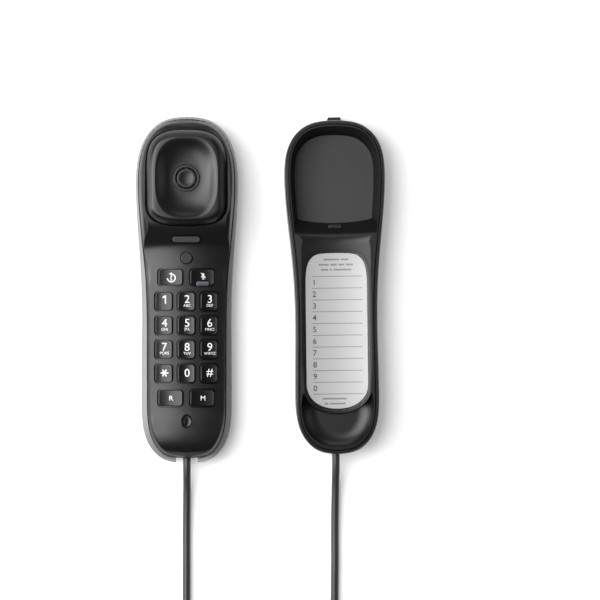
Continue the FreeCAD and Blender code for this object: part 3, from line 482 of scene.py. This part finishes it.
def typed(words, height_mm, bold_mm=0.0):
    """Flat mesh of a line of type, centred on the origin, with capitals of the given height."""
    curve = bpy.data.curves.new("type", "FONT")
    curve.body = words
    curve.size = height_mm * MM / CAPITAL_SHARE
    curve.offset = bold_mm * MM
    curve.resolution_u = TYPE_RESOLUTION
    holder = bpy.data.objects.new("type", curve)
    bpy.context.scene.collection.objects.link(holder)
    bpy.context.view_layer.update()
    mesh = bpy.data.meshes.new_from_object(holder)
    bpy.data.objects.remove(holder)
    places = np.array([vertex.co[:] for vertex in mesh.vertices])
    middle = (places.min(axis=0) + places.max(axis=0)) / 2
    mesh.transform(Matrix.Translation(-Vector(middle)))
    return mesh


def drawn(outlines):
    """Flat mesh of filled outlines, each a list of (x, y) in millimetres."""
    vertices = []
    faces = []
    for outline in outlines:
        faces.append(tuple(range(len(vertices), len(vertices) + len(outline))))
        vertices += [(x * MM, y * MM, 0) for x, y in outline]
    mesh = bpy.data.meshes.new("drawn")
    mesh.from_pydata(vertices, [], faces)
    return mesh


def strip(edge, other):
    """Quads between two lines of as many points."""
    quads = []
    for k in range(len(edge) - 1):
        quads.append([edge[k], edge[k + 1], other[k + 1], other[k]])
    return quads


def bar(x0, x1, y, thick):
    """Level bar in short lengths, so that it can follow a curved card."""
    count = max(1, round((x1 - x0) / BAR_STEP))
    places = [x0 + (x1 - x0) * k / count for k in range(count + 1)]
    return strip([(x, y - thick / 2) for x in places], [(x, y + thick / 2) for x in places])


def stroke(start, end, thick):
    """Straight stroke between two points."""
    way = Vector((end[0] - start[0], end[1] - start[1])).normalized()
    side = Vector((-way.y, way.x)) * thick / 2
    first = Vector(start)
    last = Vector(end)
    return [tuple(first - side), tuple(last - side), tuple(last + side), tuple(first + side)]


def arc(centre, radius, start, end, steps=24):
    turns = [math.radians(start + (end - start) * step / steps) for step in range(steps + 1)]
    return [(centre[0] + radius * math.cos(turn), centre[1] + radius * math.sin(turn)) for turn in turns]


def band(centre, radius, thick, start, end):
    """Curved stroke of an even thickness."""
    outer = arc(centre, radius + thick / 2, start, end)
    inner = arc(centre, radius - thick / 2, start, end)
    return strip(inner, outer)


def redial_mark():
    """A ring with an arrowhead, round a small handset."""
    ring = band((0, -0.4), 2.4, 0.6, -175, 75)
    head = [(-1.3, 2.1), (0.3, 3.1), (0.45, 1.1)]
    grip = band((0.95, -0.5), 1.25, 0.4, 120, 240)
    ear = stroke((-0.35, 0.8), (0.5, 0.45), 0.65)
    mouth = stroke((-0.35, -1.8), (0.5, -1.45), 0.65)
    return drawn(ring + grip + [head, ear, mouth])


def mute_mark():
    """A microphone on its stand, struck through."""
    capsule = arc((0, 1.2), 0.6, 0, 180, 12) + arc((0, 0.2), 0.6, 180, 360, 12)
    yoke = band((0, 0.1), 1.1, 0.3, 180, 360)
    stem = stroke((0, -1.0), (0, -1.8), 0.35)
    base = bar(-0.7, 0.7, -1.85, 0.35)
    strike = stroke((-1.4, 2.0), (1.4, -1.2), 0.35)
    return drawn(yoke + base + [capsule, stem, strike])


def one_mark():
    """The figure one, with a flag."""
    top = DIGIT_HIGH / 2
    left = 0.6 - STROKE / 2
    flag = [(left, top), (left - 1.4, top - 0.9), (left - 1.4, top - 1.8), (left, top - 1.0)]
    return drawn([stroke((0.6, -top), (0.6, top), STROKE), flag])


def star_mark():
    """Three strokes crossed."""
    arms = []
    for degrees in (0, 60, 120):
        turn = math.radians(degrees)
        end = (STAR_R * math.cos(turn), STAR_R * math.sin(turn))
        arms.append(stroke((-end[0], -end[1]), end, STROKE))
    return drawn(arms)


def add_print(name, parts, material, surface, body, on_handset):
    """Joins flat meshes, each with its place in millimetres, into one printed piece laid on a surface."""
    for mesh, x, y in parts:
        if on_handset:
            mesh.transform(HANDSET_PLACE @ Matrix.Translation(Vector((x + PRINT_RIGHT, y, 0)) * MM))
        else:
            mesh.transform(Matrix.Translation(Vector((x, y, 0)) * MM))
    vertices, faces = gathered([mesh for mesh, _, _ in parts])
    joined = bpy.data.meshes.new(name)
    joined.from_pydata(vertices, [], faces)
    lay_on(joined, surface)
    piece = new_piece(name, joined)
    paint(piece, material)
    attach(piece, body)


def print_key(name, parts):
    add_print(name + "_print", parts, materials["white_ink"], surface_of(name), name, True)


def print_keys():
    for name, (x, y), digit, letters in KEYS:
        parts = [(typed(digit, DIGIT_HIGH), x, y + (DIGIT_UP if letters else LONE_DIGIT_UP))]
        if letters:
            parts.append((typed(letters, LETTERS_HIGH), x, y - LETTERS_DOWN))
        print_key(name, parts)
    for name, (x, y), letter, high in LETTER_KEYS:
        print_key(name, [(typed(letter, high), x, y)])
    for name, (x, y), mark in MARKED_KEYS:
        print_key(name, [(mark(), x, y)])


def seam_stops():
    """Points down the handset's middle, each with a level way out to its edge, once all round."""
    low, high = SEAM_ENDS_Y
    stops = []
    for near, far, half_turns, side in ((high, low, 0, -1), (low, high, 1, 1)):
        for step in range(SEAM_END_STEPS):
            turn = math.pi * (half_turns + step / SEAM_END_STEPS)
            stops.append((Vector((0, near, 0)), Vector((math.cos(turn), math.sin(turn), 0))))
        for step in range(SEAM_SIDE_STEPS):
            y = near + (far - near) * step / SEAM_SIDE_STEPS
            stops.append((Vector((0, y, 0)), Vector((side, 0, 0))))
    return stops + stops[:1]


def is_over(surface, place):
    """Whether a surface lies under a point given in millimetres in the handset's frame."""
    start = HANDSET_PLACE @ (place * MM)
    return surface_under(surface, start.x, start.y) is not None


def paint_seam_shade():
    """Painted shade: a dark line laid in the joint between the handset's shells, standing in for the shadow
    in the groove between them. It stops at the notch for the cord.
    """
    front = surface_of("handset_front_shell")
    both = surface_of("handset_front_shell", "handset_rear_shell")
    inner = []
    outer = []
    for start, way in seam_stops():
        reach = SEAM_SEARCH_FROM
        while not is_over(front, start + way * reach):
            reach -= SEAM_SEARCH_STEP
        inner.append(start + way * (reach - SEAM_SHADE_IN))
        outer.append(start + way * (reach + SEAM_SHADE_OUT))
    quads = []
    for k in range(len(inner) - 1):
        corners = [inner[k], inner[k + 1], outer[k + 1], outer[k]]
        if all(is_over(both, corner) for corner in corners):
            quads.append([(corner.x, corner.y) for corner in corners])
    mesh = drawn(quads)
    mesh.transform(HANDSET_PLACE)
    # the painted shade line rides on the handset
    add_print("seam_shade_line", [(mesh, 0, 0)], materials["seam_painted_shade"], both, "handset", False)


def print_card():
    """Ruled lines, row numbers, and plain bars for a heading and a footnote."""
    surface = surface_of("index_card")
    rules = []
    figures = []
    for row in range(CARD_ROWS + 1):
        y = CARD_TOP_RULE_Y - row * CARD_PITCH
        rules += bar(CARD_RULE_X[0], CARD_RULE_X[1], y, CARD_RULE_THICK)
        if row < CARD_ROWS:
            figures.append((typed(str((row + 1) % 10), CARD_DIGIT_HIGH, CARD_DIGIT_BOLD), CARD_DIGIT_X,
                            y - CARD_PITCH / 2))
    greeking = []
    for y, words in CARD_WORDS:
        for x0, x1 in words:
            greeking += bar(x0, x1, y, CARD_WORD_HIGH)
    add_print("card_rules", [(drawn(rules), 0, 0)], materials["grey_ink"], surface, "cradle", False)
    add_print("card_numbers", figures, materials["dark_ink"], surface, "cradle", False)
    add_print("card_bars", [(drawn(greeking), 0, 0)], materials["grey_ink"], surface, "cradle", False)


# Light and floor

def area_light(name, place, target, size, power):
    data = bpy.data.lights.new(name, "AREA")
    data.shape = "RECTANGLE"
    data.size = size[0]
    data.size_y = size[1]
    data.energy = power
    light = bpy.data.objects.new(name, data)
    light.location = place
    light.rotation_euler = (Vector(target) - Vector(place)).to_track_quat("-Z", "Y").to_euler()
    bpy.context.scene.collection.objects.link(light)


def make_floor():
    """Pale paper. It looks white to the camera and in reflections, and lights the object no more for it."""
    mesh = bpy.data.meshes.new("floor")
    corners = [(x * FLOOR_HALF, y * FLOOR_HALF, 0) for x, y in ((-1, -1), (1, -1), (1, 1), (-1, 1))]
    mesh.from_pydata(corners, [], [(0, 1, 2, 3)])
    floor = new_piece("floor", mesh)
    material, tree, shader = new_material("floor_paper")
    noise = add(tree, "ShaderNodeTexNoise", Scale=FLOOR_GRAIN)
    tone = add(tree, "ShaderNodeMapRange", To_Min=FLOOR_TONES[0], To_Max=FLOOR_TONES[1])
    tree.links.new(noise.outputs["Fac"], tone.inputs["Value"])
    tree.links.new(tone.outputs["Result"], shader.inputs["Base Color"])
    shader.inputs["Roughness"].default_value = 0.9
    shader.inputs["Specular IOR Level"].default_value = 0.1
    shader.inputs["Emission Color"].default_value = (1, 1, 1, 1)
    rays = add(tree, "ShaderNodeLightPath")
    direct = add(tree, "ShaderNodeMath", operation="MAXIMUM")
    seen = add(tree, "ShaderNodeMath", operation="MAXIMUM")
    glow = add(tree, "ShaderNodeMath", operation="MULTIPLY")
    glow.inputs[1].default_value = FLOOR_GLOW
    tree.links.new(rays.outputs["Is Camera Ray"], direct.inputs[0])
    tree.links.new(rays.outputs["Is Glossy Ray"], direct.inputs[1])
    tree.links.new(direct.outputs["Value"], seen.inputs[0])
    tree.links.new(rays.outputs["Is Transmission Ray"], seen.inputs[1])
    tree.links.new(seen.outputs["Value"], glow.inputs[0])
    tree.links.new(glow.outputs["Value"], shader.inputs["Emission Strength"])
    paint(floor, material)


def set_world():
    world = bpy.data.worlds.new("studio")
    bpy.context.scene.world = world
    world.use_nodes = True
    background = world.node_tree.nodes["Background"]
    background.inputs["Color"].default_value = (1, 1, 1, 1)
    background.inputs["Strength"].default_value = WORLD_STRENGTH


# Keys with a drawn mark, and the mark's middle in millimetres in the handset's frame
MARKED_KEYS = [
    ("redial_key", (-9.75, 7.8), redial_mark),
    ("mute_key", (9.9, 8.5), mute_mark),
    ("key_1", (COLUMNS[0], ROWS[0] + 1.1), one_mark),
    ("key_star", (COLUMNS[0], ROWS[3] + 0.3), star_mark),
]

write_box()
set_camera()
materials = make_materials()
paint_frame_nodes()
make_cord()
print_keys()
print_card()
# painted shade: a dark line in the joint between the handset's shells
paint_seam_shade()
make_floor()
set_world()
for lamp in LAMPS:
    area_light(*lamp)
bpy.context.scene.view_settings.view_transform = "Standard"
write_box()
